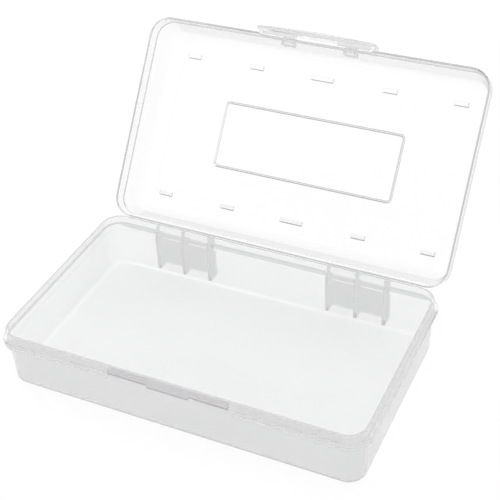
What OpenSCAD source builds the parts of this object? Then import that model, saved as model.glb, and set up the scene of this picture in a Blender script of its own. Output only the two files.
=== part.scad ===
// Pencil box: a clear moulded tray, a domed lid on two snap-on back hinges and a pivoting front latch.
// Millimetres. X runs along the length, Y to the back, Z up.
// The origin is the middle of the tray's underside. The lid is drawn open, leaning on its hinge lugs.

/* [Tray] */
// Length over the lip
tray_l = 200; // [180:1:220]
// Width over the lip
tray_w = 115.6; // [104:0.2:124]
// Height of the lip above the table
tray_h = 33.8; // [30:0.2:42]
// Plan radius of the lip's corners
corner_r = 10.4; // [10:0.2:14]
// Wall thickness of the tray
tray_t = 1.4; // [1.2:0.1:1.8]
// Floor thickness
floor_t = 1.5; // [1.2:0.1:2.2]
// Radius of the bottom edge
foot_r = 3; // [2:0.2:3.6]
// Lean of the wall between flange and floor
draft = 0.5; // [0.3:0.1:1.2]
// Thickness of the lip that enters the lid
lip_t = 1.3; // [1.1:0.1:1.5]
// Height of the lip above the flange
lip_h = 5.8; // [5.4:0.1:6.4]
// Reach of the flange beyond the lip
flange_out = 2.1; // [1.9:0.1:2.4]
// Height of the flange's outer face
flange_h = 1.9; // [1.4:0.1:2.4]

/* [Catch] */
// Width of the catch ledge on the front lip
catch_w = 66; // [60:1:68]
// Reach of the catch ledge beyond the lip
catch_out = 2.2; // [1.9:0.1:2.4]
// Height of the catch ledge
catch_h = 3.4; // [3:0.1:3.6]
// Width of the deeper lug in the middle of the ledge
lug_w = 23; // [18:1:26]
// Height of the deeper lug
lug_h = 5; // [4:0.1:5.6]

/* [Lid] */
// Depth of the lid from rim to top face
lid_d = 26; // [24:0.2:32]
// Wall thickness of the lid
lid_t = 1.2; // [1:0.1:1.5]
// Gap between the lip and the lid's skirt
lid_gap = 0.4; // [0.35:0.05:0.6]
// Height of the skirt below the step
skirt_h = 6.4; // [6:0.1:7.2]
// Inward step above the skirt
step_in = 0.6; // [0.4:0.1:1]
// Radius of the domed edge
dome_r = 8.6; // [7:0.2:9]
// Angle from closed at which the lid rests open
open_angle = 126.6; // [95:0.2:130]

/* [Label frame and pads] */
// Length of the embossed label frame
frame_l = 111.8; // [90:0.2:120]
// Width of the embossed label frame
frame_w = 39.8; // [30:1:46]
// Width of the frame's roof-shaped rib
frame_rib = 1.6; // [1.3:0.1:1.9]
// Height of the frame's rib
frame_h = 1.1; // [0.8:0.1:1.3]
// Spacing of the stacking pads along the length
pad_pitch = 41.2; // [36:0.2:42]
// Distance between the two rows of pads
pad_rows = 84; // [72:1:86]
// Length of a stacking pad
pad_l = 8.6; // [7:0.2:10]
// Length of the middle pad of a row
pad_mid_l = 14; // [11:0.5:18]
// Width of a stacking pad
pad_w = 2.8; // [2.2:0.2:3.4]
// Height of a stacking pad
pad_h = 1.2; // [1:0.1:1.6]
// Bevel on the hinge side and the ends of a stacking pad
pad_bevel = 0.6; // [0.3:0.1:0.8]

/* [Hinges] */
// Distance between the two hinges
hinge_pitch = 106.6; // [100:0.5:112]
// Width between the outer lugs of a hinge
hinge_w = 33.3; // [28:0.5:36]
// Thickness of a hinge lug
hinge_lug = 2; // [1.6:0.1:2.4]
// Radius of the hinge pin
pin_r = 1; // [0.9:0.05:1.1]
// Radial clearance of the snap-on knuckle
pin_gap = 0.06; // [0.04:0.01:0.08]
// Radius of the knuckle
knuckle_r = 2; // [1.9:0.1:2.2]
// Side play beside a knuckle
side_gap = 0.35; // [0.3:0.05:0.6]
// Height of the hinge's cover plate and lugs above the table
cover_low = 1.8; // [1:0.1:6]

/* [Latch] */
// Overlap of the latch beyond the catch ledge on each side
latch_over = 2.2; // [2:0.1:5]
// Radius of the latch's upper corners
shoulder_r = 6; // [3:0.5:6.5]
// Thickness of the latch plate
latch_t = 1.5; // [1.3:0.1:1.8]
// Reach of the finger lip along the latch's lower edge
lip_out = 1.6; // [1.3:0.1:2]
// Rise of the finger lip's curved edge in plan
lip_crown = 1.2; // [0.6:0.1:1.3]
// Distance between the latch's two pivots
pivot_pitch = 37.6; // [34:0.2:44]
// Width of a pivot knuckle
pivot_w = 4.2; // [3.6:0.2:6]
// Radius of a pivot pin
pivot_r = 1; // [0.9:0.05:1.1]
// Grip of the hook under the ledge
hook_grip = 0.8; // [0.5:0.1:1]

/* [Hidden] */
$fn = 64;
// Middle points of the plan corners
cx = tray_l / 2 - corner_r;
cy = tray_w / 2 - corner_r;
// Heights of the flange's shelf, of its lower edge and of the closed lid's rim
shelf_z = tray_h - lip_h;
flange_z = shelf_z - flange_h;
seat_gap = 0.2;
rim_z = shelf_z + seat_gap;
// Radii of the tray's profile, counted from the corner's middle
wall_in = 0.5;
wall_r = corner_r - wall_in;
foot_out = wall_r - draft;
foot_in_r = foot_r - 1;
// Radii of the lid's profile
skirt_in = corner_r + lid_gap;
skirt_out = skirt_in + lid_t;
step_z = skirt_h + step_in;
dome_c = [0.3, lid_d - dome_r];
skirt_y = cy + skirt_out;
// Label frame: corner radius, flat on the rib's crest, and how deep ribs and pads sink into the plate
frame_r = 3;
crest_w = 0.2;
root_in = 0.2;
// Hinge line and the room it leaves beside the lid's back skirt
hinge_room = 1.6;
hinge_rise = 0.8;
hinge_y = skirt_y + hinge_room;
hinge_z = rim_z + hinge_rise;
stop_gap = 0.15;
stop_r = hinge_room - stop_gap;
stop_run = 3.4;
cover_t = 1.4;
heel = [
    hinge_y - stop_r * cos(open_angle) + stop_run * sin(open_angle),
    hinge_z + stop_r * sin(open_angle) + stop_run * cos(open_angle)
];
heel_y = max(heel[0], hinge_y + 3);
cover_drop = 6.2;
cover_h = hinge_z - cover_drop - cover_low;
bracket_w = hinge_w + hinge_lug;
// Front gap of the flange and of the lid's skirt, and the margins by which they pass the catch
gap_over = 2;
notch_over = 0.8;
front_gap = catch_w + 2 * gap_over;
notch_w = catch_w + 2 * notch_over;
// Reach of the cuts in the flange and the lip, outwards and downwards
cut_out = 6;
cut_low = 3;
// Latch, in the closed lid's frame with the rim at height 0
pivot_y = -(cy + corner_r + 1.2);
pivot_rise = 4.2;
pivot_z = skirt_h + pivot_rise;
pivot_gap = 0.06;
pivot_barrel = 2;
pocket_t = 1;
pocket_gap = 0.4;
pocket_reach = 4;
pocket_w = pivot_w + 2 * pocket_gap;
latch_w = catch_w + 2 * latch_over;
latch_in = tray_w / 2 + max(catch_out, flange_out) + 1;
ledge_z = tray_h - catch_h - rim_z;
hook_gap = 0.25;
hook_h = 1.5;
hook_z = ledge_z - hook_gap - hook_h;
latch_low = hook_z - 1.3;
latch_top = pivot_z + 1.7;
hook_in = lug_w / 2 + 1.5;
hook_out = catch_w / 2 - 1;
stop_x = (notch_w + latch_w) / 4;
stop_w = min(1.2, (latch_w - notch_w) / 2 - 0.3);
stop_drop = 3.6;
stop_h = 2.4;
latch_root = 0.4;
lip_h0 = 1.2;
crown_r = (latch_w * latch_w / 4 + lip_crown * lip_crown) / (2 * lip_crown);

// Angle at which a line from point p touches a circle of radius r round c
function touch(p, c, r) = atan2(p[1] - c[1], p[0] - c[0]) + acos(r / norm(p - c));
// That touching point
function touch_at(p, c, r) = c + r * [cos(touch(p, c, r)), sin(touch(p, c, r))];

// Carries a profile round a plan with corner middles at x and y: four straight sides and four turned corners
module ring(x, y) {
    for (k = [0 : 3]) {
        sx = (k == 0 || k == 3) ? 1 : -1;
        sy = (k < 2) ? 1 : -1;
        translate([sx * x, sy * y, 0]) rotate([0, 0, 90 * k]) rotate_extrude(angle = 90) children();
    }
    for (k = [0, 2]) {
        rotate([0, 0, 90 * k]) translate([x, y, 0]) rotate([90, 0, 0]) linear_extrude(2 * y) children();
    }
    for (k = [1, 3]) {
        rotate([0, 0, 90 * k]) translate([y, x, 0]) rotate([90, 0, 0]) linear_extrude(2 * x) children();
    }
}

// Draws a side view, given as Y and Z, and carries it along X from x0 to x1
module along_x(x0, x1) {
    translate([x0, 0, 0]) rotate([90, 0, 90]) linear_extrude(x1 - x0) children();
}

// Tray wall: floor edge, leaning wall, flange and lip
module tray_profile() {
    inner_low = foot_out - tray_t;
    inner_high = wall_r - tray_t;
    difference() {
        union() {
            polygon([
                [0, 0],
                [foot_out - foot_r, 0],
                [foot_out, foot_r],
                [wall_r, flange_z - 1.4],
                [corner_r + flange_out, flange_z],
                [corner_r + flange_out, shelf_z - 0.3],
                [corner_r + flange_out - 0.3, shelf_z],
                [corner_r, shelf_z],
                [corner_r, tray_h - 0.3],
                [corner_r - 0.3, tray_h],
                [0, tray_h]
            ]);
            translate([foot_out - foot_r, foot_r]) circle(r = foot_r);
        }
        union() {
            polygon([
                [-1, floor_t],
                [inner_low - foot_in_r, floor_t],
                [inner_low, floor_t + foot_in_r],
                [inner_high, flange_z - 0.6],
                [corner_r - lip_t, shelf_z],
                [corner_r - lip_t, tray_h + 1],
                [-1, tray_h + 1]
            ]);
            translate([inner_low - foot_in_r, floor_t + foot_in_r]) circle(r = foot_in_r);
        }
    }
}

// One hinge lug: a gusset from the wall with a round head and a sloped stop for the open lid
module lug_profile() {
    root_y = cy + wall_r - draft - 0.5;
    translate([hinge_y, hinge_z]) circle(r = stop_r);
    polygon([
        [root_y, cover_low],
        [heel_y, cover_low],
        [heel_y, min(heel[1], hinge_z + stop_r * 0.3)],
        heel,
        [hinge_y - stop_r * cos(open_angle), hinge_z + stop_r * sin(open_angle)],
        [hinge_y, hinge_z],
        [hinge_y - stop_r * cos(45), hinge_z - stop_r * sin(45)],
        [root_y, shelf_z - 0.1]
    ]);
}

// Hinge bracket on the back wall: three lugs, the pin they carry and a cover plate behind them
module hinge_bracket(hx) {
    for (k = [-1, 0, 1]) {
        x0 = hx + k * hinge_w / 2 - hinge_lug / 2;
        along_x(x0, x0 + hinge_lug) lug_profile();
    }
    along_x(hx - hinge_w / 2, hx + hinge_w / 2) translate([hinge_y, hinge_z]) circle(r = pin_r);
    translate([hx - hinge_w / 2, heel_y - cover_t, cover_low]) cube([hinge_w, cover_t, cover_h]);
}

// Catch ledge with its deeper middle lug
module catch_ledge() {
    y0 = -tray_w / 2 - catch_out;
    for (s = [[catch_w, catch_h], [lug_w, lug_h]]) {
        along_x(-s[0] / 2, s[0] / 2) polygon([
            [y0, tray_h - s[1]],
            [y0, tray_h - 1],
            [y0 + 1, tray_h],
            [-tray_w / 2 + 0.8, tray_h],
            [-tray_w / 2 + 0.8, tray_h - s[1]]
        ]);
    }
}

// The tray in one piece with flange, catch ledge and hinge brackets
module base_tray() {
    color([0.9, 0.92, 0.93, 0.5]) {
        difference() {
            union() {
                ring(cx, cy) tray_profile();
                translate([-cx, -cy, 0]) cube([2 * cx, 2 * cy, floor_t]);
            }
            translate([-front_gap / 2, -tray_w / 2 - cut_out, flange_z - cut_low])
                cube([front_gap, cut_out, lip_h + flange_h]);
            for (s = [-1, 1]) {
                translate([s * hinge_pitch / 2 - bracket_w / 2 - notch_over, tray_w / 2, flange_z - cut_low])
                    cube([bracket_w + 2 * notch_over, cut_out, lip_h + flange_h]);
            }
        }
        catch_ledge();
        for (s = [-1, 1]) hinge_bracket(s * hinge_pitch / 2);
    }
}

// Filled half section of the lid: straight skirt, step, leaning wall and domed edge
module dome_section(skirt_r, step_r, r, top) {
    edge = [step_r, step_z];
    t = touch_at(edge, dome_c, r);
    polygon([
        [0, -1],
        [skirt_r, -1],
        [skirt_r, skirt_h],
        edge,
        t,
        dome_c,
        [dome_c[0], top],
        [0, top]
    ]);
    intersection() {
        translate(dome_c) circle(r = r);
        translate(dome_c) square([r + 1, r + 1]);
    }
}

// Lid wall of even thickness
module lid_profile() {
    intersection() {
        difference() {
            dome_section(skirt_out, skirt_out - step_in, dome_r, lid_d);
            dome_section(skirt_in, skirt_in - step_in, dome_r - lid_t, lid_d - lid_t);
        }
        square([skirt_out + 1, lid_d + 1]);
    }
}

// Embossed frame for a label: a roof-shaped rib round a rectangle
module label_frame() {
    mid = frame_r - frame_rib / 2;
    translate([0, 0, lid_d]) ring(frame_l / 2 - frame_r, frame_w / 2 - frame_r) polygon([
        [mid - frame_rib / 2, -root_in],
        [mid + frame_rib / 2, -root_in],
        [mid + frame_rib / 2, 0],
        [mid + crest_w / 2, frame_h],
        [mid - crest_w / 2, frame_h],
        [mid - frame_rib / 2, 0]
    ]);
}

// View of a stacking pad, w wide, with one upper corner bevelled and the other bevelled by b
module pad_profile(w, b) {
    polygon([
        [-w / 2, -root_in],
        [w / 2, -root_in],
        [w / 2, pad_h - pad_bevel],
        [w / 2 - pad_bevel, pad_h],
        [-w / 2 + b, pad_h],
        [-w / 2, pad_h - b]
    ]);
}

// Two rows of stacking pads, upright on the front side
module stacking_pads() {
    for (s = [-1, 1], k = [-2 : 2]) {
        l = k == 0 ? pad_mid_l : pad_l;
        translate([k * pad_pitch, s * pad_rows / 2, lid_d]) intersection() {
            along_x(-l / 2, l / 2) pad_profile(pad_w, 0);
            translate([0, pad_w / 2, 0]) rotate([90, 0, 0]) linear_extrude(pad_w) pad_profile(l, pad_bevel);
        }
    }
}

// Knuckle in side view: barrel on the pin and a web to the lid's back skirt
module knuckle_profile() {
    a = [hinge_y, hinge_z - rim_z];
    translate(a) circle(r = knuckle_r);
    polygon([
        [skirt_y - 0.7, 0],
        [skirt_y - 0.7, skirt_h - 0.4],
        [skirt_y, skirt_h - 0.4],
        a + knuckle_r * [cos(50), sin(50)],
        a,
        a + knuckle_r * [cos(190), sin(190)]
    ]);
}

// Bore of the knuckles with the narrower mouth that snaps over the pin
module knuckle_bore() {
    translate([hinge_y, hinge_z - rim_z]) {
        circle(r = pin_r + pin_gap);
        translate([0, -pin_r * 0.84]) square([knuckle_r + 1, pin_r * 1.68]);
    }
}

// Pocket in the lid's front wall with two ears that carry a pivot pin
module pivot_pocket(px) {
    w = pocket_w + 2 * pocket_t;
    y1 = pivot_y + pivot_barrel + pocket_gap + pocket_t;
    for (s = [-1, 1]) {
        x0 = px + s * (pocket_w + pocket_t) / 2 - pocket_t / 2;
        along_x(x0, x0 + pocket_t) {
            translate([pivot_y, pivot_z]) circle(r = pivot_barrel - 0.3);
            translate([pivot_y + 0.6, pivot_z - pivot_barrel - pocket_gap - pocket_t])
                square([y1 - pivot_y - 0.6, 2 * (pivot_barrel + pocket_gap + pocket_t)]);
        }
    }
    along_x(px - w / 2, px + w / 2) {
        translate([y1 - pocket_t, pivot_z - pivot_barrel - pocket_gap - pocket_t])
            square([pocket_t, 2 * (pivot_barrel + pocket_gap + pocket_t)]);
        for (s = [-1, 1]) {
            z0 = pivot_z + s * (pivot_barrel + pocket_gap + pocket_t / 2) - pocket_t / 2;
            translate([pivot_y + 1.2, z0]) square([y1 - pivot_y - 1.2, pocket_t]);
        }
        translate([pivot_y, pivot_z]) circle(r = pivot_r);
    }
}

// Room that a latch knuckle needs in the lid's front wall
module pocket_room(px) {
    along_x(px - pocket_w / 2, px + pocket_w / 2)
        translate([pivot_y - pocket_reach, pivot_z - pivot_barrel - pocket_gap])
            square([pocket_reach + pivot_barrel + pocket_gap, 2 * (pivot_barrel + pocket_gap)]);
}

// Lid in its closed frame, rim at height 0
module lid_closed() {
    play = hinge_lug / 2 + side_gap;
    difference() {
        union() {
            ring(cx, cy) lid_profile();
            translate([-cx, -cy, lid_d - lid_t]) cube([2 * cx, 2 * cy, lid_t]);
        }
        translate([-notch_w / 2, -skirt_y - 2, -1]) cube([notch_w, corner_r + 2, skirt_h + 1.1]);
        for (s = [-1, 1]) pocket_room(s * pivot_pitch / 2);
    }
    label_frame();
    stacking_pads();
    for (s = [-1, 1]) pivot_pocket(s * pivot_pitch / 2);
    for (s = [-1, 1], k = [-1, 1]) {
        x0 = s * hinge_pitch / 2 + (k < 0 ? -hinge_w / 2 + play : play);
        along_x(x0, x0 + hinge_w / 2 - 2 * play) difference() {
            knuckle_profile();
            knuckle_bore();
        }
    }
}

// Swings the closed lid's frame open round the hinge line
module swing_open() {
    translate([0, hinge_y, hinge_z]) rotate([-open_angle, 0, 0]) translate([0, -hinge_y, rim_z - hinge_z])
        children();
}

// The lid in one piece, open
module lid() {
    color([0.95, 0.96, 0.97, 0.4]) swing_open() lid_closed();
}

// Pivot knuckle of the latch in side view, with its snap mouth
module latch_knuckle() {
    difference() {
        union() {
            translate([pivot_y, pivot_z]) circle(r = pivot_barrel);
            polygon([
                [-latch_in - 0.5, pivot_z - pivot_barrel],
                [pivot_y, pivot_z - pivot_barrel],
                [pivot_y, pivot_z + pivot_barrel * 0.8],
                [-latch_in - 0.5, pivot_z + pivot_barrel * 0.8]
            ]);
        }
        translate([pivot_y, pivot_z]) {
            circle(r = pivot_r + pivot_gap);
            translate([0, -pivot_r * 0.84]) square([pivot_barrel + 1, pivot_r * 1.68]);
        }
    }
}

// Latch plate in side view with the hollowed finger lip along its lower edge
module latch_profile() {
    y1 = -latch_in;
    y0 = y1 - latch_t;
    lip_top = latch_low + lip_h0 + lip_out;
    difference() {
        polygon([
            [y0 - lip_out, latch_low + 0.4],
            [y0 - lip_out + 0.4, latch_low],
            [y1, latch_low],
            [y1, latch_top - 0.9],
            [y1 - 0.8, latch_top],
            [y0 + 0.6, latch_top],
            [y0, latch_top - 0.6],
            [y0, lip_top],
            [y0 - lip_out, lip_top]
        ]);
        translate([y0 - lip_out, lip_top]) circle(r = lip_out);
    }
}

// Latch plate in front view, square below and with round upper corners
module latch_outline() {
    h = latch_top - latch_low;
    translate([-latch_w / 2, latch_low]) square([latch_w, h - shoulder_r]);
    translate([-latch_w / 2 + shoulder_r, latch_low]) square([latch_w - 2 * shoulder_r, h]);
    for (s = [-1, 1]) {
        translate([s * (latch_w / 2 - shoulder_r), latch_top - shoulder_r]) circle(r = shoulder_r);
    }
}

// Latch in the closed lid's frame: plate with a crowned lip, two hooks, two stop ribs and two pivot knuckles
module latch_closed() {
    y1 = -latch_in;
    grip_y = -tray_w / 2 - catch_out + hook_grip;
    intersection() {
        along_x(-latch_w / 2, latch_w / 2) latch_profile();
        rotate([90, 0, 0]) linear_extrude(latch_in + latch_t + 4) latch_outline();
        translate([0, crown_r - latch_in - latch_t - lip_out, latch_low - 1])
            cylinder(r = crown_r, h = latch_top - latch_low + 2, $fn = 720);
    }
    for (s = [-1, 1]) {
        along_x(min(s * hook_in, s * hook_out), max(s * hook_in, s * hook_out)) polygon([
            [y1 - latch_root, hook_z],
            [grip_y - 0.7, hook_z],
            [grip_y, hook_z + 0.7],
            [grip_y, hook_z + hook_h],
            [y1 - latch_root, hook_z + hook_h]
        ]);
        along_x(s * stop_x - stop_w / 2, s * stop_x + stop_w / 2)
            translate([y1 - latch_root, skirt_h - stop_drop])
                square([latch_in + latch_root - skirt_y - stop_gap, stop_h]);
        along_x(s * pivot_pitch / 2 - pivot_w / 2, s * pivot_pitch / 2 + pivot_w / 2) latch_knuckle();
    }
}

// The latch in one piece, riding on the open lid
module front_latch() {
    color([0.93, 0.94, 0.95, 0.5]) swing_open() latch_closed();
}

base_tray();
lid();
front_latch();
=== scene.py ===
"""Looks of a clear moulded pencil box: a tray, a domed lid on back hinges and a pivoting front latch.

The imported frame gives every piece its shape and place. This script dresses the pieces in moulded
plastic, stands them on a pale floor in soft studio light and looks at them from the photograph's angle.
All lengths are in metres.
"""

import logging
import math
from abc import ABC, abstractmethod
from dataclasses import dataclass, field
from enum import Enum
from typing import Optional, Union

import bpy
from mathutils import Matrix, Vector


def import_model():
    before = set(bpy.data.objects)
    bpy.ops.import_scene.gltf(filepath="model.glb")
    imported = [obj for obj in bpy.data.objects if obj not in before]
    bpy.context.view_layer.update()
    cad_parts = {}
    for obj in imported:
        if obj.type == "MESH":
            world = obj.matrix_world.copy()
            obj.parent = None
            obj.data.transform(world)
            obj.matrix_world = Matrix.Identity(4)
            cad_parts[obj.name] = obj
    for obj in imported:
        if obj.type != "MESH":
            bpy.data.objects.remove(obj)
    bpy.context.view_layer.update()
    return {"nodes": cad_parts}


LOG = logging.getLogger("pencil_box")
Triple = tuple[float, float, float]
Value = Union["Sock", float, tuple]
BACK: Triple = (0.0, 1.0, 0.0)
UP: Triple = (0.0, 0.0, 1.0)
WHITE: Triple = (1.0, 1.0, 1.0)
NOISE_MEAN = 0.5


class Piece(Enum):
    """The pieces of the box, by the names of their CAD nodes."""

    TRAY = "base_tray"
    LID = "lid"
    LATCH = "front_latch"


class Sock:
    """A node's output that takes part in Python arithmetic: each operator adds one Math node."""

    def __init__(self, graph: "Graph", socket: bpy.types.NodeSocket) -> None:
        """Wraps one output socket of a graph."""
        self.graph = graph
        self.socket = socket

    def _math(self, operation: str, first: Value, second: Value) -> "Sock":
        """One Math node on two values."""
        return self.graph.node("ShaderNodeMath", {"operation": operation}, {0: first, 1: second})

    def __add__(self, other: Value) -> "Sock":
        """The sum with a value on the right."""
        return self._math("ADD", self, other)

    def __radd__(self, other: Value) -> "Sock":
        """The sum with a value on the left."""
        return self._math("ADD", other, self)

    def __sub__(self, other: Value) -> "Sock":
        """The difference with a value on the right."""
        return self._math("SUBTRACT", self, other)

    def __rsub__(self, other: Value) -> "Sock":
        """The difference with a value on the left."""
        return self._math("SUBTRACT", other, self)

    def __mul__(self, other: Value) -> "Sock":
        """The product with a value on the right."""
        return self._math("MULTIPLY", self, other)

    def __rmul__(self, other: Value) -> "Sock":
        """The product with a value on the left."""
        return self._math("MULTIPLY", other, self)

    def most(self, other: Value) -> "Sock":
        """The smaller of this value and another."""
        return self._math("MINIMUM", self, other)

    def least(self, other: Value) -> "Sock":
        """The larger of this value and another."""
        return self._math("MAXIMUM", self, other)

    def above(self, other: Value) -> "Sock":
        """1 where this value is the larger, else 0."""
        return self._math("GREATER_THAN", self, other)

    def ramp(self, low: float, high: float) -> "Sock":
        """This value spread smoothly over 0 to 1 between two limits.

        Args:
            low: The value that becomes 0.
            high: The value that becomes 1.

        Returns:
            The spread value.
        """
        settings = {"interpolation_type": "SMOOTHSTEP"}
        limits = {"Value": self, "From Min": low, "From Max": high}
        return self.graph.node("ShaderNodeMapRange", settings, limits)


class Graph:
    """The node tree of one material or of the world."""

    def __init__(self, owner: Union[bpy.types.Material, bpy.types.World]) -> None:
        """Empties the owner's node tree and keeps it."""
        owner.use_nodes = True
        self.tree = owner.node_tree
        self.tree.nodes.clear()

    def node(
        self,
        kind: str,
        settings: Optional[dict] = None,
        inputs: Optional[dict] = None,
        output: Union[int, str] = 0,
    ) -> Optional[Sock]:
        """Adds a node.

        Args:
            kind: The node's type.
            settings: Its own settings, which are set first.
            inputs: Values or links of its sockets, by name, identifier or number.
            output: The output to hand back.

        Returns:
            That output, or None where the node has no outputs.
        """
        made = self.tree.nodes.new(kind)
        for name, value in (settings or {}).items():
            setattr(made, name, value)
        for key, value in (inputs or {}).items():
            self.feed(self._socket(made.inputs, key), value)
        return Sock(self, self._socket(made.outputs, output)) if made.outputs else None

    def feed(self, socket: bpy.types.NodeSocket, value: Value) -> None:
        """Links a wrapped output to a socket, or sets the socket's own value.

        Args:
            socket: The input socket.
            value: A wrapped output, a number, a vector or a colour.
        """
        if isinstance(value, Sock):
            self.tree.links.new(value.socket, socket)
        elif socket.type == "RGBA":
            socket.default_value = (*value, 1.0)
        else:
            socket.default_value = value

    @staticmethod
    def _socket(sockets: bpy.types.bpy_prop_collection, key: Union[int, str]) -> bpy.types.NodeSocket:
        """The socket with that number, identifier or name."""
        if isinstance(key, int):
            return sockets[key]
        return next(s for s in sockets if key in (s.identifier, s.name))

    def ray(self, output: str) -> Sock:
        """What the Light Path node says about the ray that meets the surface."""
        return self.node("ShaderNodeLightPath", output=output)

    def blend(self, factor: Value, first: Value, second: Value) -> Sock:
        """A Mix node between two colours.

        Args:
            factor: 0 for the first colour, 1 for the second.
            first: The first colour.
            second: The second colour.

        Returns:
            The mixed colour.
        """
        inputs = {"Factor_Float": factor, "A_Color": first, "B_Color": second}
        return self.node("ShaderNodeMix", {"data_type": "RGBA"}, inputs, "Result_Color")

    def mix(self, factor: Value, first: Sock, second: Sock) -> Sock:
        """A Mix Shader node: the first shader at factor 0, the second at factor 1."""
        return self.node("ShaderNodeMixShader", {}, {0: factor, 1: first, 2: second})

    def film(self, passed: float) -> Sock:
        """A film without refraction that lets a share of the light straight through."""
        return self.node("ShaderNodeBsdfTransparent", {}, {"Color": (passed,) * 3})

    def dot(self, first: Sock, second: Triple) -> Sock:
        """The dot product of a vector and a direction."""
        inputs = {0: first, 1: second}
        return self.node("ShaderNodeVectorMath", {"operation": "DOT_PRODUCT"}, inputs, "Value")

    def noise(self, where: Sock, pitch: float, detail: float, stretch: Triple = (1.0, 1.0, 1.0)) -> Sock:
        """A noise pattern.

        Args:
            where: The coordinates.
            pitch: The distance between features.
            detail: Octaves of finer noise.
            stretch: How much closer the features lie along each axis.

        Returns:
            The pattern, about 0.5 in the mean.
        """
        placed = self.node("ShaderNodeVectorMath", {"operation": "MULTIPLY"}, {0: where, 1: stretch})
        inputs = {"Vector": placed, "Scale": 1 / pitch, "Detail": detail}
        return self.node("ShaderNodeTexNoise", {}, inputs)


def turned(way: Triple) -> Triple:
    """The direction opposite to another."""
    return tuple(-part for part in way)


def seen(graph: Graph) -> Sock:
    """1 for rays that show a surface to the camera, straight, mirrored or through plastic.

    Args:
        graph: The node tree that asks.

    Returns:
        The mask.
    """
    kinds = ("Is Camera Ray", "Is Glossy Ray", "Is Transmission Ray")
    straight, mirrored, through = [graph.ray(kind) for kind in kinds]
    return (straight + mirrored + through).most(1.0)


@dataclass(frozen=True)
class Spot:
    """A place in a moulding that looks different: greyed by painted shade where it is thick, or without
    grey lines.

    It lies beyond each of its limits. A limit is a direction and a distance along it from the origin.
    """

    limits: tuple[tuple[Triple, float], ...]
    # The grey that the place takes on in its colour: a painted shade.
    tint: Triple = WHITE
    edge: float = 0.0003

    def mask(self, graph: Graph, where: Sock) -> Sock:
        """1 inside the place, 0 elsewhere.

        Args:
            graph: The finish's node tree.
            where: The piece's own coordinates.

        Returns:
            The mask.
        """
        shares = []
        for way, start in self.limits:
            along = graph.dot(where, way)
            shares.append(along.ramp(start, start + self.edge))
        return math.prod(shares[1:], start=shares[0])


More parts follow.
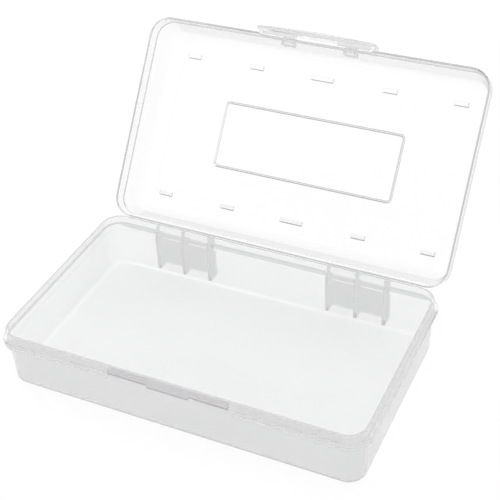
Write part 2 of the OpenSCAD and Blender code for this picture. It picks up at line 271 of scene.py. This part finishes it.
@dataclass(frozen=True)
class MouldedPlastic:
    """See-through moulded plastic with a satin haze, a fine mould grain and soft flow marks.

    Light that is caught between a wall's faces dims once and is let go, so rims, ribs and edges that
    are seen end on read as even grey lines. Lamp light falls through, so the box casts only a faint
    shadow.

    Attributes:
        name: The finish's name.
        tint: The plastic's colour.
        flow_tint: Its colour in the flow marks.
        clear: The share of light that goes through, where the rest is haze.
        roughness: The mean roughness of its faces.
        flow_swing: How far the flow marks move the roughness.
        grain_pitch: The distance between the mould's grains.
        grain_depth: The grain's depth.
        caught: The share of caught light that is let go.
        caught_run: The longest way between two faces on which light counts as caught.
        caught_from: The count of faces after which light counts as caught.
        films_most: The count of films after which light meets the plain plastic again.
        first_film: A count of films between none and one.
        flow_axis: How much closer the flow marks lie along each axis.
        flow_pitch: The distance between flow marks.
        flow_detail: Octaves of finer flow marks.
        flow_span: The noise values where the marks begin and are full.
        grain_detail: Octaves of finer grain.
        grain_strength: The share of the grain that shows.
        cast: The share of lamp light that each face lets through.
        ior: The plastic's refraction.
        wall_tint: The colour that thick plastic takes on.
        wall_density: How soon it does so.
        shaded_spots: The places whose colour is greyed with painted shade.
        lineless: The places where caught light doesn't dim.
    """

    name: str
    tint: Triple
    flow_tint: Triple
    clear: float
    roughness: float
    flow_swing: float
    grain_pitch: float
    grain_depth: float
    caught: float
    caught_run: float = 1.0
    caught_from: float = 1.5
    films_most: float = 7.5
    first_film: float = 0.5
    flow_axis: Triple = (0.4, 1.0, 1.0)
    flow_pitch: float = 0.035
    flow_detail: float = 3.0
    flow_span: tuple[float, float] = (0.4, 0.65)
    grain_detail: float = 2.0
    grain_strength: float = 0.35
    cast: float = 0.93
    ior: float = 1.49
    wall_tint: Triple = (0.86, 0.87, 0.885)
    wall_density: float = 20.0
    # Places whose colour is greyed with painted shade.
    shaded_spots: tuple[Spot, ...] = ()
    lineless: tuple[Spot, ...] = ()

    def material(self) -> bpy.types.Material:
        """Makes the finish as a node material.

        Returns:
            The material.
        """
        made = bpy.data.materials.new(self.name)
        graph = Graph(made)
        where = graph.node("ShaderNodeTexCoord", output="Object")
        films = graph.ray("Transparent Depth")
        late = graph.ray("Ray Depth").above(self.caught_from) * (1 - films.above(self.films_most))
        wall = graph.mix(late, self._skin(graph, where), self._dimming(graph, where, films))
        surface = graph.mix(graph.ray("Is Shadow Ray"), wall, graph.film(self.cast))
        depth = {"Color": self.wall_tint, "Density": self.wall_density}
        volume = graph.node("ShaderNodeVolumeAbsorption", {}, depth)
        graph.node("ShaderNodeOutputMaterial", {}, {"Surface": surface, "Volume": volume})
        return made

    def _skin(self, graph: Graph, where: Sock) -> Sock:
        """The plastic's faces, with flow marks, grain and places greyed with painted shade.

        Args:
            graph: The finish's node tree.
            where: The piece's own coordinates.

        Returns:
            The shader.
        """
        flow = graph.noise(where, self.flow_pitch, self.flow_detail, self.flow_axis)
        colour = graph.blend(flow.ramp(*self.flow_span), self.tint, self.flow_tint)
        # Painted shade: the colour is greyed in these places.
        for spot in self.shaded_spots:
            colour = graph.blend(spot.mask(graph, where), colour, spot.tint)
        inputs = {
            "Base Color": colour,
            "Roughness": self.roughness + self.flow_swing * (flow - NOISE_MEAN),
            "IOR": self.ior,
            "Transmission Weight": self.clear,
            "Normal": self._grain(graph, where),
        }
        return graph.node("ShaderNodeBsdfPrincipled", {}, inputs)

    def _grain(self, graph: Graph, where: Sock) -> Sock:
        """The fine grain that the mould leaves, as a bumped normal.

        Args:
            graph: The finish's node tree.
            where: The piece's own coordinates.

        Returns:
            The normal.
        """
        height = graph.noise(where, self.grain_pitch, self.grain_detail)
        inputs = {"Strength": self.grain_strength, "Distance": self.grain_depth, "Height": height}
        return graph.node("ShaderNodeBump", {}, inputs)

    def _dimming(self, graph: Graph, where: Sock, films: Sock) -> Sock:
        """The film that late light meets: it dims light that is caught in a wall, and only once.

        Args:
            graph: The finish's node tree.
            where: The piece's own coordinates.
            films: How many films the light has met so far.

        Returns:
            The shader.
        """
        undimmed = films.above(self.first_film).least(graph.ray("Ray Length").above(self.caught_run))
        for spot in self.lineless:
            undimmed = undimmed.least(spot.mask(graph, where))
        return graph.mix(undimmed, graph.film(self.caught), graph.film(1.0))


@dataclass
class Moulding(ABC):
    """One moulded piece of the box, carried over from the frame."""

    piece: Piece
    slot: str

    @abstractmethod
    def finish(self) -> MouldedPlastic:
        """The piece's plastic."""

    def dress(self, nodes: dict[str, bpy.types.Object]) -> bpy.types.Object:
        """Gives the piece its finish.

        Args:
            nodes: The frame's objects by node name.

        Returns:
            The dressed object.
        """
        shown = nodes[self.piece.value]
        shown.data.materials.clear()
        shown.data.materials.append(self.finish().material())
        return shown


@dataclass
class Tray(Moulding):
    """The satin tray, with the catch on its front and the hinge brackets on its back."""

    piece: Piece = Piece.TRAY
    slot: str = "tray_plastic"
    catch_front: float = 0.0577
    catch_foot: float = 0.0283
    # Grey painted into the catch's colour as shade.
    catch_shade_tint: Triple = (0.72, 0.7, 0.73)
    bracket_back: float = 0.0585
    # Grey painted into the hinge brackets' colour as shade.
    bracket_shade_tint: Triple = (0.62, 0.63, 0.635)

    def finish(self) -> MouldedPlastic:
        """The tray's plastic, greyed with painted shade at the catch and at the hinge brackets.

        Returns:
            The finish.
        """
        # Painted shade: the catch and the hinge brackets are greyed in colour.
        catch_limits = ((turned(BACK), self.catch_front), (UP, self.catch_foot))
        catch_shade = Spot(limits=catch_limits, tint=self.catch_shade_tint)
        bracket_shade = Spot(limits=((BACK, self.bracket_back),), tint=self.bracket_shade_tint)
        return MouldedPlastic(
            name="satin_tray_plastic",
            tint=(0.985, 0.99, 0.99),
            flow_tint=(0.97, 0.975, 0.976),
            clear=0.86,
            roughness=0.2,
            flow_swing=0.04,
            grain_pitch=0.0009,
            grain_depth=0.00002,
            caught=0.69,
            shaded_spots=(catch_shade, bracket_shade),
        )


@dataclass
class Lid(Moulding):
    """The clear domed lid, which leans back from the tray.

    Its places are given along two directions: out, from the rim to the plate, and up, from the hinge to
    the latch.
    """

    piece: Piece = Piece.LID
    slot: str = "lid_plastic"
    lean: float = 126.6
    rim_out: float = 0.0312
    # Grey painted into the rim's colour as shade.
    rim_shade_tint: Triple = (0.75, 0.75, 0.75)
    hinge_rim_up: float = 0.068
    # A deeper grey painted into the rim by the hinge as shade.
    hinge_rim_shade_tint: Triple = (0.65, 0.65, 0.65)
    hinge_edge_up: float = 0.067
    pads_out: float = 0.0571
    low_pads_up: float = 0.09
    # Grey painted into the lower pads' colour as shade.
    pads_shade_tint: Triple = (0.85, 0.85, 0.85)

    def finish(self) -> MouldedPlastic:
        """The lid's plastic, greyed with painted shade at its rim and lower pads, and without grey lines
        at the hinge edge.

        Returns:
            The finish.
        """
        lean = math.radians(self.lean)
        out = (0.0, math.sin(lean), math.cos(lean))
        up = (0.0, -math.cos(lean), math.sin(lean))
        inside_rim = (turned(out), -self.rim_out)
        pad_limits = ((out, self.pads_out), (turned(up), -self.low_pads_up))
        # Painted shade: the lower pads, the rim and the hinge rim are greyed in colour.
        low_pads_shade = Spot(limits=pad_limits, tint=self.pads_shade_tint)
        rim = Spot(limits=(inside_rim,), tint=self.rim_shade_tint)
        hinge_rim_shade = Spot(limits=(inside_rim, (turned(up), -self.hinge_rim_up)), tint=self.hinge_rim_shade_tint)
        hinge_edge = Spot(limits=((turned(up), -self.hinge_edge_up),))
        return MouldedPlastic(
            name="clear_lid_plastic",
            tint=(0.999, 0.999, 1.0),
            flow_tint=(0.995, 0.996, 0.997),
            clear=0.985,
            roughness=0.03,
            flow_swing=0.02,
            grain_pitch=0.0012,
            grain_depth=0.00002,
            caught=0.66,
            caught_run=0.009,
            shaded_spots=(low_pads_shade, rim, hinge_rim_shade),
            lineless=(hinge_edge,),
        )


@dataclass
class Latch(Moulding):
    """The latch that swings on the lid's front edge."""

    piece: Piece = Piece.LATCH
    slot: str = "latch_plastic"

    def finish(self) -> MouldedPlastic:
        """The latch's plastic.

        Returns:
            The finish.
        """
        return MouldedPlastic(
            name="latch_plastic",
            tint=(0.985, 0.985, 0.99),
            flow_tint=(0.97, 0.97, 0.976),
            clear=0.9,
            roughness=0.08,
            flow_swing=0.02,
            grain_pitch=0.0008,
            grain_depth=0.00002,
            caught=0.75,
            flow_axis=(0.3, 1.0, 1.0),
        )


@dataclass(frozen=True)
class PaleFloor:
    """A white floor that keeps the shadow and meets the white background where it is unshaded."""

    albedo: float = 0.9
    shade: float = 0.35

    def material(self) -> bpy.types.Material:
        """Makes the floor's material: plain white as it lights the box, with a softer shadow as it shows.

        Returns:
            The material.
        """
        made = bpy.data.materials.new("pale_floor")
        graph = Graph(made)
        matt = graph.node("ShaderNodeBsdfDiffuse", {}, {"Color": (self.albedo,) * 3})
        shaded = graph.node("ShaderNodeBsdfDiffuse", {}, {"Color": (self.shade,) * 3})
        glow = graph.node("ShaderNodeEmission", {}, {"Strength": 1 - self.shade})
        shown = graph.node("ShaderNodeAddShader", {}, {0: shaded, 1: glow})
        graph.node("ShaderNodeOutputMaterial", {}, {"Surface": graph.mix(seen(graph), matt, shown)})
        return made


@dataclass(frozen=True)
class SoftLamp:
    """A square soft lamp."""

    name: str
    place: Triple
    size: float
    watts: float

    def build(self, target: Vector) -> None:
        """Hangs the lamp.

        Args:
            target: The point that it faces.
        """
        place = Vector(self.place)
        data = bpy.data.lights.new(self.name, "AREA")
        data.size = self.size
        data.energy = self.watts
        lamp = bpy.data.objects.new(self.name, data)
        lamp.location = place
        lamp.rotation_euler = (target - place).to_track_quat("-Z", "Y").to_euler()
        bpy.context.scene.collection.objects.link(lamp)


@dataclass
class Studio:
    """Floor, lamps and the white surroundings."""

    floor_size: float = 60.0
    floor_gap: float = 0.0003
    fill: float = 0.92
    gloom: float = 0.3
    gloom_way: Triple = (0.1, 0.45, 0.89)
    gloom_from: float = 0.5
    gloom_to: float = 0.85
    key: SoftLamp = SoftLamp("key_lamp", place=(-0.9, -0.5, 1.3), size=0.9, watts=4.0)
    rim: SoftLamp = SoftLamp("rim_lamp", place=(0.7, 1.0, 1.1), size=0.7, watts=2.0)

    def build(self, target: Vector) -> None:
        """Makes the floor, the world and the lamps.

        Args:
            target: The point that the lamps face.
        """
        self._floor()
        self._world()
        self.key.build(target)
        self.rim.build(target)

    def _floor(self) -> None:
        """A wide pale plane under the box."""
        half = self.floor_size / 2
        mesh = bpy.data.meshes.new("floor")
        low = -self.floor_gap
        corners = [(-half, -half, low), (half, -half, low), (half, half, low), (-half, half, low)]
        mesh.from_pydata(corners, [], [(0, 1, 2, 3)])
        mesh.materials.append(PaleFloor().material())
        floor = bpy.data.objects.new("floor", mesh)
        bpy.context.scene.collection.objects.link(floor)

    def _world(self) -> None:
        """White where it shows, dimmer where it only lights, and grey overhead, which shades the rims."""
        world = bpy.data.worlds.new("studio")
        graph = Graph(world)
        way = graph.node("ShaderNodeTexCoord", output="Generated")
        overhead = graph.dot(way, self.gloom_way)
        shown = 1 - self.gloom * overhead.ramp(self.gloom_from, self.gloom_to)
        strength = self.fill + (shown - self.fill) * seen(graph)
        sky = graph.node("ShaderNodeBackground", {}, {"Color": WHITE, "Strength": strength})
        graph.node("ShaderNodeOutputWorld", {}, {"Surface": sky})
        bpy.context.scene.world = world


@dataclass
class PhotoCamera:
    """The photograph's camera, as fitted to the box's edges. Its angles are in degrees."""

    frame_px: float = 500.0
    focal_px: float = 1137.696
    azimuth: float = 27.107
    elevation: float = 37.078
    roll: float = -3.516
    distance: float = 0.55683
    target: Vector = field(default_factory=lambda: Vector((0.019554, 0.0, 0.079734)))

    def build(self) -> None:
        """Makes the camera and hands it to the scene."""
        azimuth, elevation, roll = map(math.radians, (self.azimuth, self.elevation, self.roll))
        back = Vector((
            math.sin(azimuth) * math.cos(elevation),
            -math.cos(azimuth) * math.cos(elevation),
            math.sin(elevation),
        ))
        level = Vector((math.cos(azimuth), math.sin(azimuth), 0))
        upright = back.cross(level)
        right = math.cos(roll) * level + math.sin(roll) * upright
        up = -math.sin(roll) * level + math.cos(roll) * upright
        data = bpy.data.cameras.new("photo_camera")
        data.lens = data.sensor_width * self.focal_px / self.frame_px
        camera = bpy.data.objects.new("photo_camera", data)
        facing = Matrix((right, up, back)).transposed().to_4x4()
        camera.matrix_world = Matrix.Translation(self.target + self.distance * back) @ facing
        bpy.context.scene.collection.objects.link(camera)
        bpy.context.scene.camera = camera


def main() -> None:
    """Loads the frame, dresses the box and sets the studio and the camera."""
    logging.basicConfig(level=logging.INFO, format="%(name)s: %(message)s")
    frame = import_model()
    bpy.context.scene.view_settings.view_transform = "Standard"
    camera = PhotoCamera()
    camera.build()
    for part in (Tray(), Lid(), Latch()):
        shown = part.dress(frame["nodes"])
        LOG.info("%s wears %s", shown.name, shown.active_material.name)
    Studio().build(camera.target)


if __name__ == "__main__":
    main()
